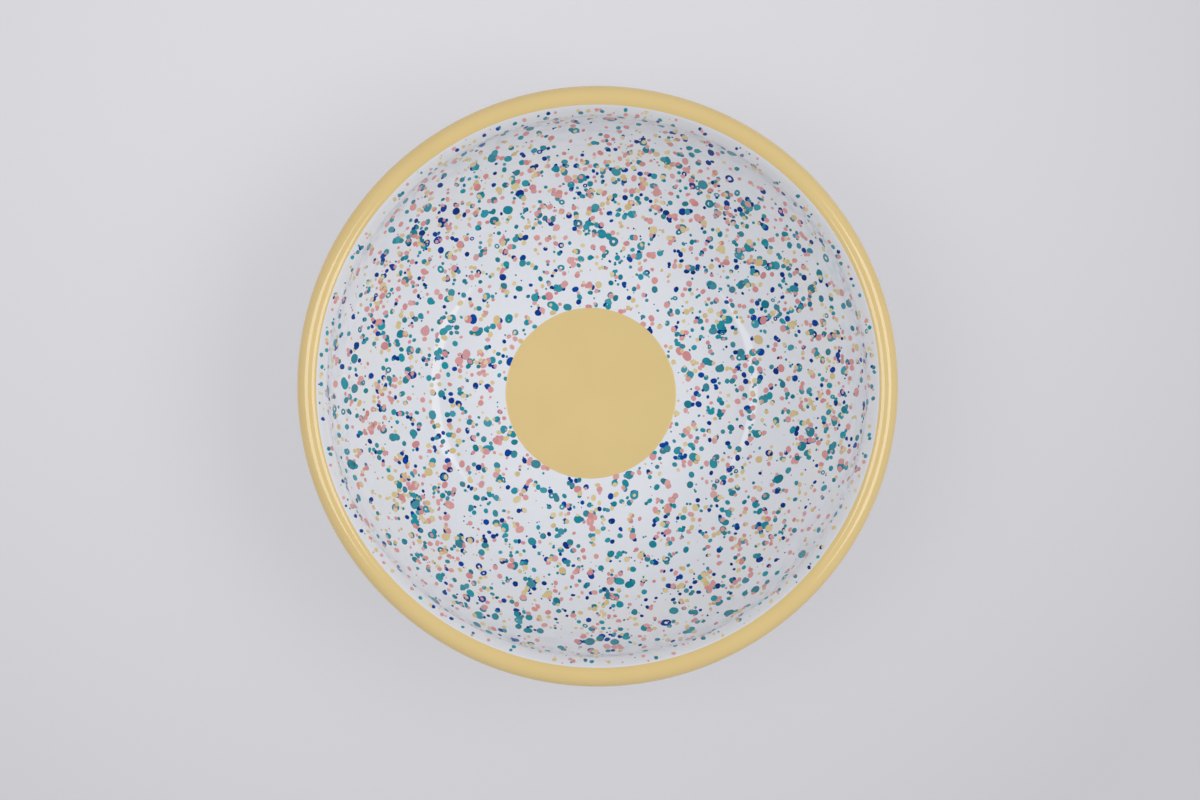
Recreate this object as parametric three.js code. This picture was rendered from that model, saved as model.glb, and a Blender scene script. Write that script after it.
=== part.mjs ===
// Salad bowl of enamelled sheet steel: a pressed shell with a rolled rim, fired with vitreous enamel
// on both faces, a yellow band over the rim and a yellow spot on the floor.
// Millimetres, +Z up, origin at the middle of the face that the bowl stands on.
import * as THREE from 'three';

// Driving dimensions
const RIM_DIAMETER = 260; // over the rolled rim, enamel included
const HEIGHT = 80; // from the table to the top of the rim
const BEAD_DIAMETER = 10.6; // section of the rolled edge, enamel included
const FLOOR_DIAMETER = 139; // flat floor of the bowl, inside
const CORNER_RADIUS = 14; // inside, where the floor turns up into the wall
const STEEL_THICKNESS = 0.8;
const GROUND_COAT = 0.1; // dark grip enamel, on each face
const COVER_COAT = 0.15; // white or yellow finish enamel, on each face
const BOND_CLEARANCE = 0.005; // hair gap between layers that the firing fuses together
const CURL_GAP = 0.5; // how far the rolled edge keeps clear of the upright wall at the neck
const FLARE_LEAN = THREE.MathUtils.degToRad(52); // tilt of the lip where it runs into the rolled edge
const BAND_LAP = 3.3; // how far the yellow band laps inwards past the crest of the rim
const SPOT_DIAMETER = 80;
const SPOT_THICKNESS = 0.15;
const SPOT_X = -2.2; // the spot is put on by hand, a little off the axis
const SPOT_Y = -2.9;

// Facets of the round forms
const TURN_STEPS = 40;
const CORNER_STEPS = 3;
const WALL_STEPS = 5;
const FLARE_STEPS = 3;
const LIP_STEPS = 1;
const BAND_LAP_STEPS = 2;
const SHOULDER_STEPS = 3;
const CURL_STEPS = 4;

// Layers of the sheet, as the depths of their faces below the enamel inside the bowl
const layerBelow = (above, thickness) => {
  const upper = above.lower + BOND_CLEARANCE;
  return { upper, lower: upper + thickness };
};
const COVER_INSIDE = { upper: 0, lower: COVER_COAT };
const GROUND_INSIDE = layerBelow(COVER_INSIDE, GROUND_COAT);
const STEEL = layerBelow(GROUND_INSIDE, STEEL_THICKNESS);
const GROUND_OUTSIDE = layerBelow(STEEL, GROUND_COAT);
const COVER_OUTSIDE = layerBelow(GROUND_OUTSIDE, COVER_COAT);

// Sizes that follow from the driving dimensions
const SHEET = COVER_OUTSIDE.lower;
const FLOOR_RADIUS = FLOOR_DIAMETER / 2;
const BEAD_RADIUS = BEAD_DIAMETER / 2;
const BEAD_HEIGHT = HEIGHT - BEAD_RADIUS;
const CREST_RADIUS = RIM_DIAMETER / 2 - BEAD_RADIUS;
const LIP_WIDTH = BEAD_RADIUS + SHEET + CURL_GAP;
const FLARE_RADIUS =
  (LIP_WIDTH - BEAD_RADIUS * Math.sin(FLARE_LEAN)) / (1 - Math.sin(FLARE_LEAN));
const NECK_RADIUS = CREST_RADIUS - LIP_WIDTH;
const NECK_HEIGHT = BEAD_HEIGHT - (FLARE_RADIUS - BEAD_RADIUS) * Math.cos(FLARE_LEAN);

// The wall is one arc. It leaves the corner's arc smoothly and stands upright at the neck.
const WALL_RUN = NECK_RADIUS - FLOOR_RADIUS;
const WALL_RISE = NECK_HEIGHT - SHEET - CORNER_RADIUS;
const WALL_RADIUS =
  (WALL_RUN ** 2 + WALL_RISE ** 2 - CORNER_RADIUS ** 2) / (2 * (WALL_RUN - CORNER_RADIUS));
const CORNER_TURN = Math.atan2(WALL_RADIUS - WALL_RUN, WALL_RISE);

// Directions in the section of the rim, from the centre of an arc to its edge
const TOWARDS_AXIS = Math.PI;
const CREST = Math.PI / 2;
const WIDEST = 0;
const CUT_EDGE = -5 * Math.PI / 6;
const BEAD_START = CREST + FLARE_LEAN;
const BAND_START = CREST + Math.asin(BAND_LAP / BEAD_RADIUS);

// Section of one level, as (radius, height) points, from the axis up to the neck.
function bowlLevel(depth) {
  const down = -Math.PI / 2;
  const corner = new THREE.ArcCurve(
    FLOOR_RADIUS, SHEET + CORNER_RADIUS, CORNER_RADIUS + depth, down, down + CORNER_TURN, false);
  const wall = new THREE.ArcCurve(
    NECK_RADIUS - WALL_RADIUS, NECK_HEIGHT, WALL_RADIUS + depth, down + CORNER_TURN, 0, false);
  return [
    new THREE.Vector2(0, SHEET - depth),
    ...corner.getPoints(CORNER_STEPS),
    ...wall.getPoints(WALL_STEPS).slice(1),
  ];
}

// Section of one level of the rim: the lip flares outwards from the neck, and the edge rolls on from
// there, tighter, over the crest and the shoulder and back under to the cut edge.
function flareArc(depth) {
  const arc = new THREE.ArcCurve(
    NECK_RADIUS + FLARE_RADIUS, NECK_HEIGHT, FLARE_RADIUS - depth, TOWARDS_AXIS, BEAD_START, true);
  return arc.getPoints(FLARE_STEPS);
}

function beadArc(depth, start, end, steps) {
  const arc = new THREE.ArcCurve(CREST_RADIUS, BEAD_HEIGHT, BEAD_RADIUS - depth, start, end, true);
  return arc.getPoints(steps);
}

const lipLevel = (depth) => [
  ...flareArc(depth),
  ...beadArc(depth, BEAD_START, BAND_START, LIP_STEPS).slice(1),
];
const bandLevel = (depth) => [
  ...beadArc(depth, BAND_START, CREST, BAND_LAP_STEPS),
  ...beadArc(depth, CREST, WIDEST, SHOULDER_STEPS).slice(1),
  ...beadArc(depth, WIDEST, CUT_EDGE, CURL_STEPS).slice(1),
];
const upToBand = (depth) => [...bowlLevel(depth), ...lipLevel(depth).slice(1)];
const upToCutEdge = (depth) => [...upToBand(depth), ...bandLevel(depth).slice(1)];

// Turns one layer of the sheet, as far as the given level runs, into a solid about the Z axis.
function turned(level, layer) {
  const section = [...level(layer.lower), ...level(layer.upper).reverse()];
  const onAxis = section[0].x === 0;
  if (!onAxis) section.push(section[0].clone());
  return new THREE.LatheGeometry(section, TURN_STEPS).rotateX(Math.PI / 2);
}

const steel = { color: 0x8f9296, roughness: 0.45, metalness: 1 };
const groundEnamel = { color: 0x20242c, roughness: 0.35, metalness: 0 };
const whiteEnamel = { color: 0xe9eaed, roughness: 0.12, metalness: 0 };
const yellowEnamel = { color: 0xdcc287, roughness: 0.14, metalness: 0 };

const bowl = new THREE.Group();

function addPiece(name, geometry, finish) {
  const piece = new THREE.Mesh(geometry, new THREE.MeshStandardMaterial(finish));
  piece.name = name;
  bowl.add(piece);
  return piece;
}

// Pressed sheet-steel shell, its edge rolled outwards into a hollow bead
addPiece('steel_shell', turned(upToCutEdge, STEEL), steel);

// Ground coat, fired on to both faces of the sheet and left open at its cut edge
addPiece('ground_coat_inside', turned(upToCutEdge, GROUND_INSIDE), groundEnamel);
addPiece('ground_coat_outside', turned(upToCutEdge, GROUND_OUTSIDE), groundEnamel);

// White cover coats: inside up to the yellow band, outside up to the neck behind the bead
addPiece('white_coat_inside', turned(upToBand, COVER_INSIDE), whiteEnamel);
addPiece('white_coat_outside', turned(bowlLevel, COVER_OUTSIDE), whiteEnamel);

// Yellow cover coat round the rolled rim, butting on to the white
addPiece('rim_band', turned(bandLevel, COVER_INSIDE), yellowEnamel);

// Yellow spot, brushed on to the floor over the white
const spotDisc = new THREE.CylinderGeometry(
  SPOT_DIAMETER / 2, SPOT_DIAMETER / 2, SPOT_THICKNESS, TURN_STEPS).rotateX(Math.PI / 2);
const spot = addPiece('floor_spot', spotDisc, yellowEnamel);
spot.position.set(SPOT_X, SPOT_Y, SHEET + SPOT_THICKNESS / 2);

export default bowl;
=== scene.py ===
import math

import bpy
import numpy as np
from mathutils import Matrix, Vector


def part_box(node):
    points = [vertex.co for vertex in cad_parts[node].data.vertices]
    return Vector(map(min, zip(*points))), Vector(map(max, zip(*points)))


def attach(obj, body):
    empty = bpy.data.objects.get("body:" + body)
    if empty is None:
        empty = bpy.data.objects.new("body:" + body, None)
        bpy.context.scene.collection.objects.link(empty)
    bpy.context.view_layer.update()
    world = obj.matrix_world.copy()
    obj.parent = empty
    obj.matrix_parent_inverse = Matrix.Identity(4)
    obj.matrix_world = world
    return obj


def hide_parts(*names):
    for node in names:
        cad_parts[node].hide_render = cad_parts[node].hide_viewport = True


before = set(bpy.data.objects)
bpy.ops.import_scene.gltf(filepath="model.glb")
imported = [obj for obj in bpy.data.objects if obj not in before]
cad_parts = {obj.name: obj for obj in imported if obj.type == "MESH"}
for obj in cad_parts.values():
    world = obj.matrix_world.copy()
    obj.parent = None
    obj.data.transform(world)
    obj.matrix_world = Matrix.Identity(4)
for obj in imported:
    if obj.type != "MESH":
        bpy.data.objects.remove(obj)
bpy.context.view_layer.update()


# Steel shell: one disc of thin sheet steel, pressed into a bowl with a flat floor. Its lip flares out
# from the neck and is rolled over into a tighter curl, which stiffens the rim. The coats of enamel are
# fired on to it, and only the cut edge up inside the curl is left bare.

RIM_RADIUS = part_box("rim_band")[1].x
RIM_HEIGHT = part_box("rim_band")[1].z
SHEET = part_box("floor_spot")[0].z  # the steel with its four coats
NECK_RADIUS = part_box("white_coat_outside")[1].x - SHEET
NECK_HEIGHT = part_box("white_coat_outside")[1].z
FLOOR_RADIUS = 0.0695
CORNER_RADIUS = 0.014
BEAD_RADIUS = 0.0053  # of the rolled edge
FLARE_LEAN = math.radians(52)  # tilt of the lip where it runs into the rolled edge
BOND = 0.000005  # hair gap between layers that the firing fuses together
BEAD_HEIGHT = RIM_HEIGHT - BEAD_RADIUS
CREST_RADIUS = RIM_RADIUS - BEAD_RADIUS
LIP_WIDTH = CREST_RADIUS - NECK_RADIUS
FLARE_RADIUS = (LIP_WIDTH - BEAD_RADIUS * math.sin(FLARE_LEAN)) / (1 - math.sin(FLARE_LEAN))

# The wall is one arc, smooth with the corner's arc below it and upright at the neck.
WALL_RUN = NECK_RADIUS - FLOOR_RADIUS
WALL_RISE = NECK_HEIGHT - SHEET - CORNER_RADIUS
WALL_RADIUS = (WALL_RUN**2 + WALL_RISE**2 - CORNER_RADIUS**2) / (2 * (WALL_RUN - CORNER_RADIUS))
CORNER_TURN = math.atan2(WALL_RADIUS - WALL_RUN, WALL_RISE)

# Directions in the section, from the centre of an arc to its edge
DOWN = -math.pi / 2
TOWARDS_AXIS = math.pi
CREST = math.pi / 2
CUT_EDGE = -5 * math.pi / 6
BEAD_START = CREST + FLARE_LEAN

TURN_STEPS = 360
FLOOR_STEPS = 4
CORNER_STEPS = 10
WALL_STEPS = 48
FLARE_STEPS = 10
CURL_STEPS = 56
SHARP_EDGE = math.radians(40)

around = np.arange(TURN_STEPS) * 2 * math.pi / TURN_STEPS


def arc(centre, radius, start, end, steps):
    """Points of an arc in the section, with a column for each step round the bowl."""
    turn = np.linspace(start + 0 * around, end + 0 * around, steps + 1)
    return np.stack([centre[0] + radius * np.cos(turn), centre[1] + radius * np.sin(turn)], axis=-1)


def bowl_level(depth):
    """The section from the axis up to the neck, at a depth below the enamel inside the bowl."""
    reach = np.linspace(0 * around, FLOOR_RADIUS + 0 * around, FLOOR_STEPS + 1)
    floor = np.stack([reach, SHEET - depth + 0 * reach], axis=-1)
    corner_centre = (FLOOR_RADIUS, SHEET + CORNER_RADIUS)
    wall_centre = (NECK_RADIUS - WALL_RADIUS, NECK_HEIGHT)
    wall_start = DOWN + CORNER_TURN
    corner = arc(corner_centre, CORNER_RADIUS + depth, DOWN, wall_start, CORNER_STEPS)
    wall = arc(wall_centre, WALL_RADIUS + depth, wall_start, 0, WALL_STEPS)
    return np.concatenate([floor, corner[1:], wall[1:]])


def flare_arc(depth):
    """The lip's section, flaring outwards from the neck to the rolled edge."""
    centre = (NECK_RADIUS + FLARE_RADIUS, NECK_HEIGHT)
    return arc(centre, FLARE_RADIUS - depth, TOWARDS_AXIS, BEAD_START, FLARE_STEPS)


def bead_arc(depth, start, end, steps):
    """Part of the rolled edge's section."""
    return arc((CREST_RADIUS, BEAD_HEIGHT), BEAD_RADIUS - depth, start, end, steps)


def whole_level(depth):
    """The section from the axis over the rim to the cut edge."""
    curl = bead_arc(depth, BEAD_START, CUT_EDGE, CURL_STEPS)
    return np.concatenate([bowl_level(depth), flare_arc(depth)[1:], curl[1:]])


def depth_under(node):
    """How deep a layer's lower face lies under the enamel inside the bowl."""
    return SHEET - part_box(node)[0].z


def make_piece(name, points, faces, places, finish):
    """A mesh piece of the bowl, with its finish and its own map for the faces."""
    mesh = bpy.data.meshes.new(name)
    mesh.from_pydata(points, [], faces)
    mesh.uv_layers.new(name="OFBake").data.foreach_set("uv", np.concatenate(places).ravel())
    mesh.shade_smooth()
    mesh.set_sharp_from_angle(angle=SHARP_EDGE)
    mesh.materials.append(finish)
    piece = bpy.data.objects.new(name, mesh)
    bpy.context.scene.collection.objects.link(piece)
    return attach(piece, "root")


def turned(name, lower, upper, finish):
    """A closed solid turned about the bowl's axis, between two levels of the sheet."""
    section = np.concatenate([lower, upper[::-1]])
    on_axis = section[0, 0, 0] == 0
    if not on_axis:
        section = np.concatenate([section, section[:1]])
    number = np.arange(len(section) * TURN_STEPS).reshape(-1, TURN_STEPS)
    if on_axis:
        number[0] = number[0, 0]
        number[-1] = number[-1, 0]
    else:
        number[-1] = number[0]
    used, number = np.unique(number, return_inverse=True)
    number = number.reshape(-1, TURN_STEPS)
    reach, height = section[..., 0], section[..., 1]
    points = np.stack([reach * np.cos(around), reach * np.sin(around), height], axis=-1)

    length = np.linalg.norm(np.diff(section[:, 0], axis=0), axis=-1)
    row_share = np.concatenate([[0], np.cumsum(length)]) / length.sum()
    place = np.stack(np.meshgrid(np.arange(TURN_STEPS) / TURN_STEPS, row_share), axis=-1)
    next_place = place + (1 / TURN_STEPS, 0)

    def corners(here, following):
        return np.stack([here[:-1], following[:-1], following[1:], here[1:]], axis=2)

    face_rows = corners(number, np.roll(number, -1, axis=1))
    place_rows = corners(place, next_place)
    kept_corners = [[0, 1, 2, 3] for _ in face_rows]
    if on_axis:
        kept_corners[0] = [0, 2, 3]
        kept_corners[-1] = [0, 1, 2]
    faces = [face for row, kept in zip(face_rows, kept_corners) for face in row[:, kept].tolist()]
    places = [row[:, kept].reshape(-1, 2) for row, kept in zip(place_rows, kept_corners)]
    return make_piece(name, points.reshape(-1, 3)[used], faces, places, finish)


class Value:
    """One socket of a node tree. Sums written with values add the Math nodes that work them out."""

    def __init__(self, nodes, socket):
        self.nodes = nodes
        self.socket = socket

    def worked_out(self, operation, first, second):
        return self.nodes.add("ShaderNodeMath", {"operation": operation}, {0: first, 1: second})

    def __add__(self, other):
        return self.worked_out("ADD", self, other)

    def __radd__(self, other):
        return self.worked_out("ADD", other, self)

    def __sub__(self, other):
        return self.worked_out("SUBTRACT", self, other)

    def __rsub__(self, other):
        return self.worked_out("SUBTRACT", other, self)

    def __mul__(self, other):
        return self.worked_out("MULTIPLY", self, other)

    def __rmul__(self, other):
        return self.worked_out("MULTIPLY", other, self)

    def __pow__(self, other):
        return self.worked_out("POWER", self, other)


class Nodes:
    """The node tree of a finish or of the light around, with one method that adds any node to it."""

    def __init__(self, tree):
        self.tree = tree

    def feed(self, node, sockets):
        for key, value in sockets.items():
            if isinstance(value, Value):
                self.tree.links.new(value.socket, node.inputs[key])
            else:
                node.inputs[key].default_value = value

    def add(self, kind, settings, sockets, output=0):
        node = self.tree.nodes.new(kind)
        for key, value in settings.items():
            setattr(node, key, value)
        self.feed(node, sockets)
        return Value(self, node.outputs[output])

    def place(self):
        return self.add("ShaderNodeTexCoord", {}, {}, "Object")

    def axes(self, vector, names):
        return [self.add("ShaderNodeSeparateXYZ", {}, {0: vector}, name) for name in names]

    def noise(self, grain, detail=2.0):
        """Even noise from 0 to 1 in the piece's own frame, whose grain is about this size in metres."""
        sockets = {"Vector": self.place(), "Scale": 1 / grain, "Detail": detail}
        return self.add("ShaderNodeTexNoise", {}, sockets, "Fac")

    def mixed(self, share, first, second):
        sockets = {"Factor": share, 6: first, 7: second}
        return self.add("ShaderNodeMix", {"data_type": "RGBA"}, sockets, 2)

    def bump(self, height, rise):
        return self.add("ShaderNodeBump", {}, {"Height": height, "Distance": rise}, "Normal")


def finish_nodes(name):
    """A new material, as the nodes to fill it with."""
    material = bpy.data.materials.new(name)
    material.use_nodes = True
    return material, Nodes(material.node_tree)


def surface(material, nodes, **sockets):
    """Sets what the material's shader takes, and gives the finished material back."""
    named = {key.replace("_", " ").title().replace("Ior", "IOR"): value for key, value in sockets.items()}
    nodes.feed(material.node_tree.nodes["Principled BSDF"], named)
    return material


def pressed_steel():
    material, nodes = finish_nodes("pressed_steel")
    scale_marks = nodes.noise(grain=0.0008, detail=4.0)
    stains = nodes.noise(grain=0.02)
    stained = (0.30, 0.30, 0.31, 1)
    bare = (0.48, 0.48, 0.49, 1)
    return surface(
        material,
        nodes,
        base_color=nodes.mixed(stains, stained, bare),
        metallic=1.0,
        roughness=0.35 + 0.25 * scale_marks,
        normal=nodes.bump(scale_marks, rise=0.00002),
    )


cover_inside = (0, depth_under("white_coat_inside"))
ground_inside = (cover_inside[1] + BOND, depth_under("ground_coat_inside"))
steel_sheet = (ground_inside[1] + BOND, depth_under("steel_shell"))

shell = turned("pressed_shell", whole_level(steel_sheet[1]), whole_level(steel_sheet[0]), pressed_steel())
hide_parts("steel_shell")


# Ground coats: a dark grip enamel, fired straight on to both faces of the steel so that the cover coats
# hold. They show only at the cut edge, where the curl ends behind the rim.

ground_outside = (steel_sheet[1] + BOND, depth_under("ground_coat_outside"))


def ground_enamel():
    material, nodes = finish_nodes("ground_enamel")
    speckle = nodes.noise(grain=0.0006, detail=3.0)
    black = (0.008, 0.010, 0.018, 1)
    slate = (0.030, 0.035, 0.050, 1)
    return surface(
        material,
        nodes,
        base_color=nodes.mixed(speckle, black, slate),
        roughness=0.25 + 0.2 * speckle,
        normal=nodes.bump(speckle, rise=0.00001),
    )


dark_enamel = ground_enamel()
for side, layer in (("inside", ground_inside), ("outside", ground_outside)):
    coat = turned(f"grip_coat_{side}", whole_level(layer[1]), whole_level(layer[0]), dark_enamel)
    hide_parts(f"ground_coat_{side}")


# White cover coats: glossy white vitreous enamel, dipped and fired over the ground coat. Inside it runs
# up to the yellow band, outside up to the neck behind the curl. It has a faint orange-peel surface. Up the
# lip its colour is painted greyer towards the rim: painted shade, and partly the white drawn thin over the
# dark coat.

BAND_LAP = 0.0033  # how far the yellow band laps inwards past the crest of the rim
BAND_WAVE = 0.00010  # how far the band's edge wanders, as it is sprayed by hand
BAND_WAVE_COUNTS = (2, 3, 5, 9, 14, 23)  # waves round the rim that this wandering adds up from
LAP_STEPS = 6

cover_outside = (ground_outside[1] + BOND, depth_under("white_coat_outside"))
band_wander = sum(np.sin(count * around + count**2) / count for count in BAND_WAVE_COUNTS)
band_edge = CREST + math.asin(BAND_LAP / BEAD_RADIUS) + BAND_WAVE / BEAD_RADIUS * band_wander


def white_enamel():
    material, nodes = finish_nodes("white_enamel")
    drift = nodes.noise(grain=0.045)
    peel = nodes.noise(grain=0.0030, detail=1.0)
    white = nodes.mixed(drift, (0.760, 0.785, 0.830, 1), (0.800, 0.815, 0.845, 1))
    # Painted shade: the white is mixed towards a greyer white from the neck up to the rim top, partly for
    # the thin white over the dark coat
    lip_shaded_white = (0.690, 0.705, 0.735, 1)
    (height,) = nodes.axes(nodes.place(), "Z")
    span = {"Value": height, "From Min": NECK_HEIGHT, "From Max": RIM_HEIGHT}
    lip_shade = nodes.add("ShaderNodeMapRange", {}, span)
    return surface(
        material,
        nodes,
        base_color=nodes.mixed(lip_shade, white, lip_shaded_white),
        roughness=0.02 + 0.03 * drift,
        specular_ior_level=0.6,
        normal=nodes.bump(peel, rise=0.000004),
    )


def white_level(depth):
    """The section of the white inside, from the axis to the band's edge on the lip."""
    lap = bead_arc(depth, BEAD_START, band_edge + BOND / BEAD_RADIUS, LAP_STEPS)
    return np.concatenate([bowl_level(depth), flare_arc(depth)[1:], lap[1:]])


glossy_white = white_enamel()
coat = turned(
    "white_enamel_inside", white_level(cover_inside[1]), white_level(cover_inside[0]), glossy_white)
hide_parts("white_coat_inside")
coat = turned(
    "white_enamel_outside", bowl_level(cover_outside[1]), bowl_level(cover_outside[0]), glossy_white)
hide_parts("white_coat_outside")


# Rim band: pale yellow enamel, sprayed round the whole of the rolled rim and fired. It butts on to the
# white on the lip and goes on round the curl to the cut edge.


def yellow_enamel(name, deep, light):
    material, nodes = finish_nodes(name)
    drift = nodes.noise(grain=0.030)
    grain = nodes.noise(grain=0.0007, detail=3.0)
    peel = nodes.noise(grain=0.0030, detail=1.0)
    mottle = 0.7 * drift + 0.3 * grain
    return surface(
        material,
        nodes,
        base_color=nodes.mixed(mottle, deep, light),
        roughness=0.05 + 0.05 * grain,
        specular_ior_level=0.95,
        normal=nodes.bump(peel, rise=0.000006),
    )


def band_level(depth):
    """The section of the yellow band, from its edge on the lip to the cut edge."""
    return bead_arc(depth, band_edge, CUT_EDGE, CURL_STEPS)


rim_yellow = yellow_enamel("rim_yellow", (0.650, 0.472, 0.174, 1), (0.718, 0.539, 0.221, 1))
band = turned("yellow_rim", band_level(cover_inside[1]), band_level(cover_inside[0]), rim_yellow)
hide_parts("rim_band")


# Floor spot: a round patch of the same yellow enamel in the middle of the floor, brushed on by hand
# over the white and the splatter. It is a little off the axis, with a soft edge that isn't quite round.

spot_low, spot_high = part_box("floor_spot")
SPOT_CENTRE = (spot_low + spot_high) / 2
SPOT_RADIUS = (spot_high.x - spot_low.x) / 2
SPOT_HEIGHT = spot_high.z - spot_low.z
SPOT_WAVE = 0.00022  # how far the spot's outline wanders
SPOT_WAVE_COUNTS = (3, 4, 7, 11, 19, 31)
SPOT_WAVE_SHIFT = 1.7  # sets these waves against each other
SPOT_WAVE_FADE = 0.8  # how fast they get smaller with their count
SINK = 0.000008  # how far a drop or the spot melts into the white under it

# The soft edge, as (distance from the outline, share of the spot's height), then rings up to the middle
SPOT_EDGE = ((0, 0), (0.00004, 0.35), (0.00014, 0.7), (0.0004, 0.93), (0.0010, 1.0))
SPOT_RINGS = 8

spot_wander = sum(np.sin(count * around + SPOT_WAVE_SHIFT * count**2) / count**SPOT_WAVE_FADE
                  for count in SPOT_WAVE_COUNTS)
outline = SPOT_RADIUS - 2 * SPOT_WAVE + SPOT_WAVE * spot_wander
edge_rows = [np.stack([outline - inset, spot_low.z + share * SPOT_HEIGHT + 0 * around], axis=-1)
             for inset, share in SPOT_EDGE]
top_reach = np.linspace(outline - SPOT_EDGE[-1][0], 0 * around, SPOT_RINGS + 1)[1:]
top_rows = np.stack([top_reach, spot_high.z + 0 * top_reach], axis=-1)
under_reach = np.linspace(0 * around, outline, 2)
under_rows = np.stack([under_reach, spot_low.z - SINK + 0 * under_reach], axis=-1)
# Painted light: the spot's yellow is painted a little lighter than the band's, though it is the same enamel
spot_yellow_painted_lighter = yellow_enamel("spot_yellow_painted_lighter", (0.706, 0.516, 0.194, 1), (0.778, 0.588, 0.246, 1))
spot = turned("yellow_spot", under_rows, np.concatenate([edge_rows, top_rows])[::-1], spot_yellow_painted_lighter)
spot.location = (SPOT_CENTRE.x, SPOT_CENTRE.y, 0)
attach(spot, "root")
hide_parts("floor_spot")


# Splatter: small drops of navy, teal, coral and yellow enamel, flicked from a brush over the white and
# fired, so that they lie as thin glassy lenses. Later colours mostly lie over earlier ones, some drops
# burst into rings, and fine specks lie between them. The yellow spot and the band have none.

# Share of the white that each colour covers, middle radius of its drops, spread of the radius's logarithm,
# how high the drops stand, how much of the white shows through the thinnest of them, and how much finer
# they are high on the wall inside
DROPS = {
    "navy": dict(cover=0.060, radius=0.00112, spread=0.26, height=0.000016, thin=0.0, finer=0.08),
    "teal": dict(cover=0.150, radius=0.00109, spread=0.36, height=0.000023, thin=0.07, finer=0.0),
    "coral": dict(cover=0.091, radius=0.00108, spread=0.27, height=0.000034, thin=0.16, finer=0.20),
    "yellow": dict(cover=0.060, radius=0.00103, spread=0.26, height=0.000046, thin=0.16, finer=0.22),
}
LARGEST_DROP = 0.0023
LIP_DROP = 0.00098  # largest drop on the lip
SMALLEST_DROP = 0.00045
HEIGHT_RANGE = (0.75, 1.25)  # share of the colour's height that one drop has
SPECK_RADIUS = (0.00022, 0.00056)
SPECKS_PER_DROP = 0.21
COMPANY = 0.08  # share of the drops that fall against another one
COMPANY_REACH = (0.2, 1.0)  # how far off its middle they fall, as a share of the two radii together

# How the shape of a drop varies, in shares of its radius
MOST_OVAL = 0.17
LOBES = (3, 4, 5)
LOBE_SIZE = 0.05
TAIL_SHARE = 0.05  # of the drops
TAIL_LENGTH = (0.3, 0.8)
TAIL_SPREAD = 0.38  # angle over which a tail runs out
FARTHEST_EDGE = 1.7  # room that is kept for a drop that is oval or has a tail
UNDER_SPOT = 0.3  # how far a drop's middle may lie under the edge of the yellow spot
BURSTING = ("navy", "teal")
RING_SHARE = 0.05  # of the larger drops of these colours
RING_SIZE = 0.0010  # radius past which a drop counts as larger
RING_HOLE = (0.18, 0.36)

# How the steep wall inside draws a drop out along the slope, as it is thrown from above
STEEPEST = 0.25  # slope, as the cosine of its tilt, past which the drops get no longer
DRAWN_LENGTH = 0.97
DRAWN_POWER = 0.62
WIDENING = 0.25  # how far a drop that is drawn out along the slope widens with it
FINER_HEIGHT = (0.010, 0.038)  # where on the wall the drops start to get finer, and where they are finest

# Points in a drop's outline: a few for any drop and more for each metre of its radius, within a range
BASE_POINTS = 6
POINTS_PER_METRE = 5200
POINT_RANGE = (7, 18)

# Rows of a drop from its edge to its top, and of a ring from its outer edge to its hole: share of the reach
# or of the ring's width, share of the height, where 0 is sunk into the white, and nearness to an edge
LENS_ROWS = ((1.0, 0, 1.0), (0.84, 0.65, 0.45), (0.48, 0.93, 0.1))
RING_ROWS = ((0.0, 0, 1.0), (0.2, 0.75, 0.5), (0.5, 1.0, 0.3), (0.8, 0.75, 0.5), (1.0, 0, 1.0))

# Each drop has a cell of its colour's map: its top fills the middle and its hidden back a corner
TOP_MIDDLE = 0.43
TOP_SCALE = 0.40
BACK_MIDDLE = 0.918
BACK_SCALE = 0.06
DROP_VALUES = ("edge", "tone", "thin")


class Face:
    """One face of the bowl as a map: distance along the section from the axis, and angle round it."""

    def __init__(self, level, outward, from_above):
        self.reach = level[:, 0, 0]
        self.height = level[:, 0, 1]
        step = np.hypot(np.diff(self.reach), np.diff(self.height))
        self.along = np.concatenate([[0], np.cumsum(step)])
        slope = np.gradient(level[:, 0], self.along, axis=0)
        slope /= np.linalg.norm(slope, axis=1)[:, None]
        self.outward = outward
        self.lean = outward * slope[:, 1]
        self.lift = -outward * slope[:, 0]
        self.stretch = np.ones(len(slope))
        self.high = np.zeros(len(slope))
        if from_above:
            slant = np.clip(np.abs(self.lift), STEEPEST, 1)
            self.stretch = np.maximum(1, DRAWN_LENGTH * slant**-DRAWN_POWER)
            self.high = np.interp(self.height, FINER_HEIGHT, (0, 1))

    def at(self, along, values):
        """One of the face's values, that far along the section."""
        return np.interp(along, self.along, values)

    def points(self, along, angle, rise):
        """Places in space, that far above the enamel."""
        reach = self.at(along, self.reach) + rise * self.at(along, self.lean)
        height = self.at(along, self.height) + rise * self.at(along, self.lift)
        return np.stack([reach * np.cos(angle), reach * np.sin(angle), height], axis=-1)


def drop_outline(rng, radius):
    """Reach of a drop's edge in each direction: a slightly oval blob, now and then with a tail."""
    count = int(np.clip(BASE_POINTS + POINTS_PER_METRE * radius, *POINT_RANGE))
    turn = np.arange(count) * 2 * math.pi / count
    oval = rng.uniform(0, MOST_OVAL)
    reach = 1 + oval * np.cos(2 * (turn - rng.uniform(0, math.pi)))
    for lobes in LOBES:
        reach += rng.normal(0, LOBE_SIZE / lobes) * np.cos(lobes * (turn - rng.uniform(0, 2 * math.pi)))
    if rng.random() < TAIL_SHARE:
        off_tail = np.angle(np.exp(1j * (turn - rng.uniform(0, 2 * math.pi))))
        reach += rng.uniform(*TAIL_LENGTH) * np.exp(-((off_tail / TAIL_SPREAD) ** 2))
    return turn, radius * reach


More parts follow.
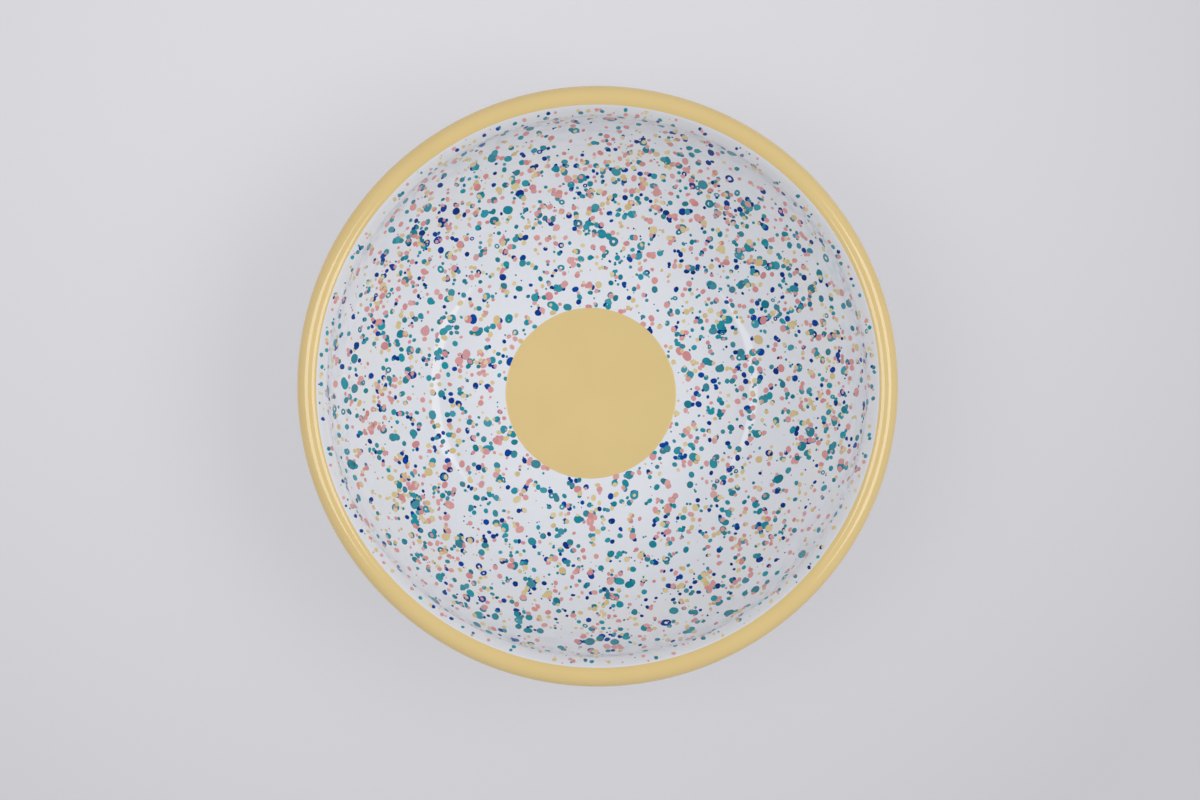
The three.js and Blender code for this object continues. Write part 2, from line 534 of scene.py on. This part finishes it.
class Splatter:
    """All the drops of one colour on one face, gathered into one mesh."""

    def __init__(self, face, total):
        self.face = face
        self.cells = math.ceil(math.sqrt(total))
        self.made = 0
        self.size = 0
        self.points, self.faces, self.places = [], [], []
        self.edges, self.tones, self.thins = [], [], []

    def add(self, along, angle, outline, height, tone, thin, hole):
        """A drop like a flat lens, or a ring where it has burst and left a hole."""
        turn, reach = outline
        count = len(turn)
        rows = LENS_ROWS
        if hole:
            rows = [(1 - inset * (1 - hole), lift, edge) for inset, lift, edge in RING_ROWS]
        share, lift, edge = (np.array(column)[:, None] for column in zip(*rows))
        rise = np.where(lift > 0, lift * height, -SINK)
        stretch = self.face.at(along, self.face.stretch)
        down_slope = reach * np.cos(turn) * stretch
        widened = reach * np.sin(turn) * stretch**WIDENING
        across = widened * -self.face.outward / self.face.at(along, self.face.reach)
        points = self.face.points(along + share * down_slope, angle + share * across, rise).reshape(-1, 3)
        places = np.stack([share * np.cos(turn), share * np.sin(turn)], axis=-1).reshape(-1, 2)
        edges = np.repeat(edge, count)

        ring = np.arange(count)
        following = np.roll(ring, -1)
        starts = count * np.arange(len(rows))
        last = starts[-1]
        tops = [np.stack([low + ring, low + following, high + following, high + ring], axis=-1)
                for low, high in zip(starts, starts[1:])]
        if hole:
            back = np.stack([last + ring, last + following, following, ring], axis=-1)
        else:
            top, bottom = len(points), len(points) + 1
            middle = self.face.points(along, angle, np.array([height, -SINK]))
            points = np.concatenate([points, middle])
            places = np.concatenate([places, np.zeros((2, 2))])
            edges = np.append(edges, [0, 1])
            tops.append(np.stack([last + ring, last + following, np.full(count, top)], axis=-1))
            back = np.stack([following, ring, np.full(count, bottom)], axis=-1)

        for faces in tops:
            self.gather(faces, TOP_MIDDLE + TOP_SCALE * places[faces])
        self.gather(back, BACK_MIDDLE + BACK_SCALE * places[back])
        self.points.append(points)
        self.edges.append(edges)
        self.tones.append(np.full(len(points), tone))
        self.thins.append(np.full(len(points), thin))
        self.made += 1
        self.size += len(points)

    def gather(self, faces, places):
        """Takes in faces of the drop that is being made, with their places in its cell of the map."""
        cell = np.array([self.made % self.cells, self.made // self.cells])
        self.faces.extend((faces + self.size).tolist())
        self.places.append(((cell + places) / self.cells).reshape(-1, 2))

    def piece(self, name, finish):
        made = make_piece(name, np.concatenate(self.points), self.faces, self.places, finish)
        for kind, values in zip(DROP_VALUES, (self.edges, self.tones, self.thins)):
            attribute = made.data.attributes.new(kind, "FLOAT", "POINT")
            attribute.data.foreach_set("value", np.concatenate(values).astype(np.float32))
        return made


WHITE_BELOW = (0.780, 0.800, 0.840, 1)


def drop_enamel(name, deep, light, edge_depth):
    """Glassy coloured enamel: deeper towards a drop's edge, and a little different in each drop."""
    material, nodes = finish_nodes(name)
    edge, tone, thin = (nodes.add("ShaderNodeAttribute", {"attribute_name": kind}, {}, "Fac")
                        for kind in DROP_VALUES)
    cloud = nodes.noise(grain=0.0009, detail=3.0)
    lightness = 0.3 + 0.6 * tone + 0.25 * cloud - edge_depth * edge * edge
    return surface(
        material,
        nodes,
        base_color=nodes.mixed(thin, nodes.mixed(lightness, deep, light), WHITE_BELOW),
        roughness=0.07 + 0.05 * cloud,
        specular_ior_level=0.10,
    )


drop_finish = {
    "navy": drop_enamel("navy_enamel", (0.001, 0.013, 0.110, 1), (0.001, 0.060, 0.345, 1), 0.3),
    "teal": drop_enamel("teal_enamel", (0.003, 0.100, 0.158, 1), (0.013, 0.318, 0.393, 1), 0.3),
    "coral": drop_enamel("coral_enamel", (0.560, 0.188, 0.214, 1), (0.725, 0.348, 0.328, 1), 0.05),
    "yellow": drop_enamel("pale_yellow_enamel", (0.600, 0.404, 0.160, 1), (0.735, 0.615, 0.325, 1), 0.05),
}


def splattered(face, density, largest, keep, rng):
    """Throws all the colours on to one face: (colour, along, angle, radius) for each drop."""
    middle = (face.along[1:] + face.along[:-1]) / 2
    ring_area = 2 * math.pi * face.at(middle, face.reach) * np.diff(face.along) * density(middle)
    thrown = []
    hosts = []
    for colour, sizes in DROPS.items():
        fineness = 1 - sizes["finer"] * face.high
        odds = np.concatenate([[0], np.cumsum(ring_area / face.at(middle, fineness) ** 2)])
        mean_area = math.pi * sizes["radius"] ** 2 * math.exp(2 * sizes["spread"] ** 2)
        drops = int(sizes["cover"] * odds[-1] / mean_area)
        specks = int(SPECKS_PER_DROP * drops)
        for is_speck in [False] * drops + [True] * specks:
            along = float(np.interp(rng.uniform(0, odds[-1]), odds, face.along))
            angle = rng.uniform(0, 2 * math.pi)
            radius = sizes["radius"] * math.exp(rng.normal(0, sizes["spread"]))
            radius *= face.at(along, fineness)
            radius = float(np.clip(radius, SMALLEST_DROP, largest(along)))
            if is_speck:
                radius = rng.uniform(*SPECK_RADIUS)
            joins = bool(hosts) and not is_speck and rng.random() < COMPANY
            if joins:
                along, angle, host_radius = hosts[rng.integers(len(hosts))]
                away = (host_radius + radius) * rng.uniform(*COMPANY_REACH)
                turn = rng.uniform(0, 2 * math.pi)
                along += away * math.cos(turn)
                angle += away * math.sin(turn) / face.at(along, face.reach)
            if keep(along, angle, radius):
                thrown.append((colour, along, angle, radius))
                if not joins and not is_speck:
                    hosts.append((along, angle, radius))
    return thrown


def splatter_face(side, face, density, largest, keep, seed):
    """Makes the drops of one face of the bowl, a piece for each colour."""
    rng = np.random.default_rng(seed)
    thrown = splattered(face, density, largest, keep, rng)
    for colour, sizes in DROPS.items():
        own = [drop for drop in thrown if drop[0] == colour]
        splatter = Splatter(face, len(own))
        for _, along, angle, radius in own:
            height = sizes["height"] * rng.uniform(*HEIGHT_RANGE)
            tone = rng.random()
            thin = sizes["thin"] * rng.random() ** 2
            drop_edge = drop_outline(rng, radius)
            bursts = colour in BURSTING and radius > RING_SIZE and rng.random() < RING_SHARE
            hole = rng.uniform(*RING_HOLE) if bursts else 0
            splatter.add(along, angle, drop_edge, height, tone, thin, hole)
        drops = splatter.piece(f"{colour}_drops_{side}", drop_finish[colour])


inside = Face(white_level(0), -1, from_above=True)
outside = Face(bowl_level(SHEET), 1, from_above=False)
NECK_ALONG = float(np.interp(NECK_HEIGHT, inside.height[FLOOR_STEPS:], inside.along[FLOOR_STEPS:]))

# A little more of the splatter lands on the wall than on the floor, and it thins out below the neck
COVER_PLACES = (FLOOR_RADIUS, NECK_ALONG - 0.045, NECK_ALONG - 0.015, NECK_ALONG, NECK_ALONG + 0.002)
COVER_SHARES = (1.0, 1.42, 0.76, 0.70, 0.78)


def inside_density(along):
    cover = np.interp(along, COVER_PLACES, COVER_SHARES)
    return cover / inside.at(along, inside.stretch) ** (1 + WIDENING)


def inside_largest(along):
    return LARGEST_DROP if along < NECK_ALONG else LIP_DROP


def inside_keep(along, angle, radius):
    reach = inside.at(along, inside.reach)
    off_spot = math.hypot(reach * math.cos(angle) - SPOT_CENTRE.x, reach * math.sin(angle) - SPOT_CENTRE.y)
    clear_of_spot = off_spot > SPOT_RADIUS - UNDER_SPOT * radius
    clear_of_band = along + FARTHEST_EDGE * radius < inside.along[-1] - 2 * BAND_WAVE
    return clear_of_spot and clear_of_band and radius <= inside_largest(along)


UNDERSIDE_CLEAR = 0.012  # bare middle of the underside


def outside_density(along):
    return np.ones(len(along))


def outside_largest(along):
    return LARGEST_DROP


def outside_keep(along, angle, radius):
    return along - radius > UNDERSIDE_CLEAR and along + FARTHEST_EDGE * radius < outside.along[-1]


splatter_face("inside", inside, inside_density, inside_largest, inside_keep, seed=11)
splatter_face("outside", outside, outside_density, outside_largest, outside_keep, seed=12)


# Table and light: a plain pale table top, with a pool of light painted into its colour, which runs into a
# plain backdrop. A softbox on each side and a dim ceiling make the rim and the corner of the floor catch
# two soft streaks each. The camera looks straight down.

TABLE_SIZE = 80.0
TABLE_GAP = 0.0001  # clear of the drops under the bowl
BACKDROP = (0.690, 0.682, 0.712, 1)
SHADOW_LIFT = 0.5  # how much of the shadow on the table is washed out near the bowl
PAINTED_POOL_MIDDLE = 0.86  # lightness of the pool of light painted into the table's colour, at the bowl's axis
PAINTED_POOL_FARTHER = 1.40  # how it changes with each metre to the far side
PAINTED_POOL_RIGHTWARD = -0.665
PAINTED_POOL_FALL = 5.32  # how it falls off with the square of the distance
SHADOW_REACH = (0.34, 1.0)  # where the table starts to run into the plain backdrop, and where it has
LAMP_DISTANCE = 2.4
PHOTO_WIDTH = 1200
FRAME_WIDTH = 0.5193  # what the photo's width takes in where the rim is widest
CAMERA_RISE = 1.010  # above the same height
CAMERA_LEFT = 0.018  # of the bowl's axis
BOWL_LEFT = 1.7  # pixels from the middle of the photo to the bowl's axis
BOWL_UP = 13.8


def seen_directly(nodes):
    """1 where the camera, a mirror or glass looks straight at a thing, 0 where it only sheds light."""
    rays = ("Is Camera Ray", "Is Glossy Ray", "Is Transmission Ray")
    return sum(nodes.add("ShaderNodeLightPath", {}, {}, ray) for ray in rays)


def pale_table():
    material, nodes = finish_nodes("pale_table")
    drift = nodes.noise(grain=0.15)
    rightward, farther = nodes.axes(nodes.place(), "XY")
    distance = nodes.add("ShaderNodeVectorMath", {"operation": "LENGTH"}, {0: nodes.place()}, "Value")
    span = {"Value": distance, "From Min": SHADOW_REACH[0], "From Max": SHADOW_REACH[1]}
    far_off = nodes.add("ShaderNodeMapRange", {"interpolation_type": "SMOOTHSTEP"}, span)
    # Painted light: a pool of light painted into the table's colour and glow, lighter to the far side and
    # the left, falling off away from the axis
    tilt = PAINTED_POOL_FARTHER * farther + PAINTED_POOL_RIGHTWARD * rightward
    painted_pool = PAINTED_POOL_MIDDLE + tilt - PAINTED_POOL_FALL * distance * distance
    surface(
        material,
        nodes,
        base_color=nodes.mixed(painted_pool, (0.560, 0.556, 0.575, 1), (0.717, 0.711, 0.736, 1)),
        roughness=0.75 + 0.1 * drift,
        specular_ior_level=0.2,
    )
    lit = Value(nodes, material.node_tree.nodes["Principled BSDF"].outputs[0])
    painted_pool_tone = nodes.mixed(painted_pool, (0.580, 0.573, 0.598, 1), (0.742, 0.733, 0.766, 1))
    # The glow seen directly carries the painted pool of light near the bowl, and the plain backdrop farther
    # off
    plain = nodes.add("ShaderNodeEmission", {}, {"Color": nodes.mixed(far_off, painted_pool_tone, BACKDROP)})
    lift = SHADOW_LIFT + (1 - SHADOW_LIFT) * far_off
    sockets = {"Fac": lift * seen_directly(nodes), 1: lit, 2: plain}
    softened = nodes.add("ShaderNodeMixShader", {}, sockets)
    nodes.feed(material.node_tree.nodes["Material Output"], {"Surface": softened})
    return material


half = TABLE_SIZE / 2
table_corners = [(-half, -half, 0), (half, -half, 0), (half, half, 0), (-half, half, 0)]
table_mesh = bpy.data.meshes.new("table")
table_mesh.from_pydata(table_corners, [], [(0, 1, 2, 3)])
table_mesh.materials.append(pale_table())
table = bpy.data.objects.new("table", table_mesh)
table.location.z = -TABLE_GAP
bpy.context.scene.collection.objects.link(table)


def softbox(name, side, lean, width, height, power):
    """A lamp on one side of the bowl, leaning that far from straight overhead and facing the bowl."""
    light = bpy.data.lights.new(name, "AREA")
    light.shape = "RECTANGLE"
    light.size = height
    light.size_y = width
    light.energy = power
    lamp = bpy.data.objects.new(name, light)
    lamp.location = (side * LAMP_DISTANCE * math.sin(lean), 0, LAMP_DISTANCE * math.cos(lean))
    lamp.rotation_euler = (0, side * lean, 0)
    lamp.visible_camera = False
    bpy.context.scene.collection.objects.link(lamp)


softbox("left_softbox", side=-1, lean=math.radians(28), width=1.10, height=1.25, power=9.4)
softbox("right_softbox", side=1, lean=math.radians(34.5), width=1.60, height=1.12, power=12.4)

LOW_WALL_LIGHT = (0.30, 0.30, 0.309, 1)
LEFT_WALL_LIGHT = (1.40, 1.40, 1.442, 1)
RIGHT_WALL_LIGHT = (2.20, 2.20, 2.266, 1)
NEAR_WALL_LIGHT = (1.09, 1.09, 1.123, 1)
FAR_WALL_LIGHT = (0.83, 0.83, 0.855, 1)
CEILING_LIGHT = (0.08, 0.08, 0.085, 1)
NEAR_SIDE_LIGHT = (0.02, 0.02, 0.02, 1)

# How the room's light changes with direction, as powers of how far up or near it is
WALL_FADE = 0.5
CEILING_FADE = 6
LOW_FADE = 2
NEAR_FADE = 3

world = bpy.data.worlds.new("room")
world.use_nodes = True
bpy.context.scene.world = world
room = Nodes(world.node_tree)
direction = room.add("ShaderNodeTexCoord", {}, {}, "Generated")
rightward, farther, upward = room.axes(direction, "XYZ")
side_walls = room.mixed(0.5 + 0.5 * rightward, LEFT_WALL_LIGHT, RIGHT_WALL_LIGHT)
end_walls = room.mixed(0.5 + 0.5 * farther, NEAR_WALL_LIGHT, FAR_WALL_LIGHT)
high_walls = room.mixed(rightward * rightward, end_walls, side_walls)
walls = room.mixed(upward**WALL_FADE, LOW_WALL_LIGHT, high_walls)
low_and_near = (1 - upward) ** LOW_FADE * (0.5 - 0.5 * farther) ** NEAR_FADE
walls = room.mixed(low_and_near, walls, NEAR_SIDE_LIGHT)
room_light = room.mixed(upward**CEILING_FADE, walls, CEILING_LIGHT)
room_light = room.mixed(seen_directly(room), room_light, BACKDROP)
room.feed(world.node_tree.nodes["Background"], {"Color": room_light})

camera_data = bpy.data.cameras.new("camera")
camera_data.sensor_fit = "HORIZONTAL"
camera_data.lens = camera_data.sensor_width * CAMERA_RISE / FRAME_WIDTH
camera = bpy.data.objects.new("camera", camera_data)
pixel = FRAME_WIDTH / PHOTO_WIDTH
camera.location = (-CAMERA_LEFT, -BOWL_UP * pixel, BEAD_HEIGHT + CAMERA_RISE)
camera.rotation_euler.y = -math.atan2(CAMERA_LEFT + BOWL_LEFT * pixel, CAMERA_RISE)
bpy.context.scene.collection.objects.link(camera)
bpy.context.scene.camera = camera
bpy.context.scene.view_settings.view_transform = "Standard"
